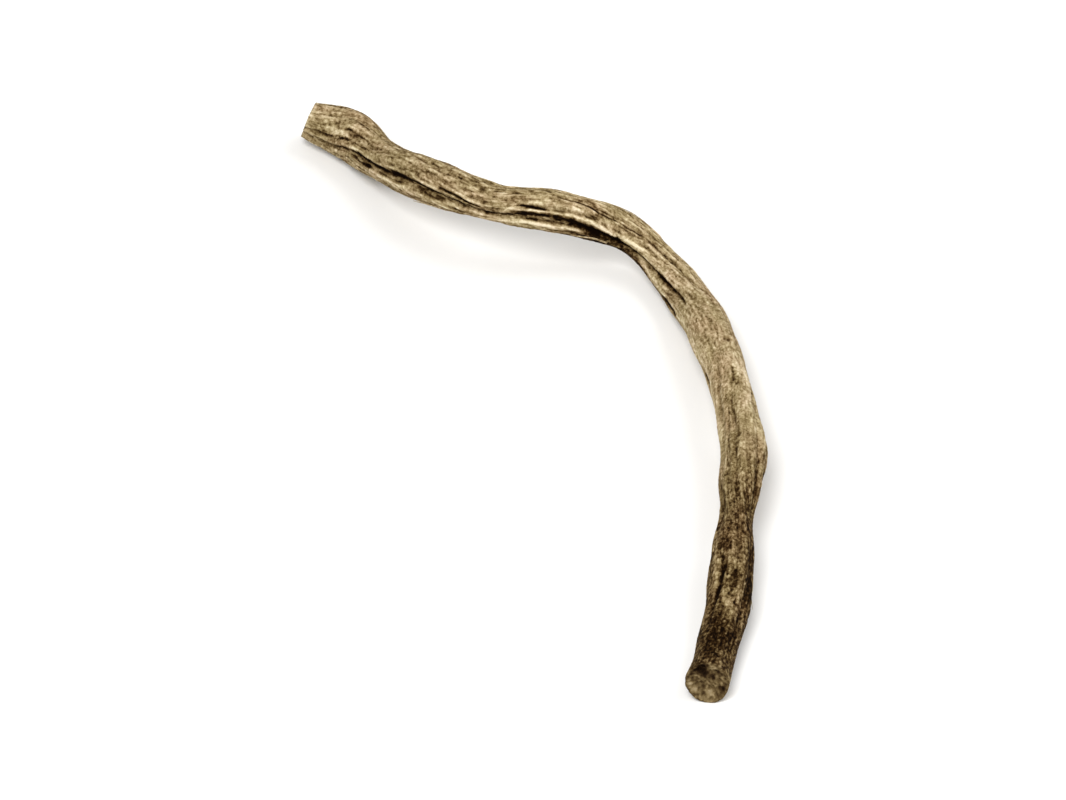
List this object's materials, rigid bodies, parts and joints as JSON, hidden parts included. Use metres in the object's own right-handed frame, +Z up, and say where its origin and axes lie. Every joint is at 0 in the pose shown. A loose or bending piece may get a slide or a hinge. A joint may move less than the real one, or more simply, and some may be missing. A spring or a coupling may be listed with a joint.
{
  "type": "cut valerian root",
  "caption": "Dried valerian root cut off at each end, long and thin, with deep lengthwise furrows, a bend like a knee and one slightly flared end. It lies at rest on low spots.",
  "frame": {"origin": "on the surface that the root lies on, under the middle of the root's outline as seen from above", "axes": "+Z up from the surface, +Y along the root's longest extent, away from the flared end, +X away from the blunt end"},
  "size_m": [0.0362, 0.069, 0.0068],
  "materials": {
    "bark": "dry, matt, furrowed root bark, pale brown with darker furrows and one darker end"
  },
  "bodies": {
    "root": {"root": "bark"}
  },
  "joints": []
}
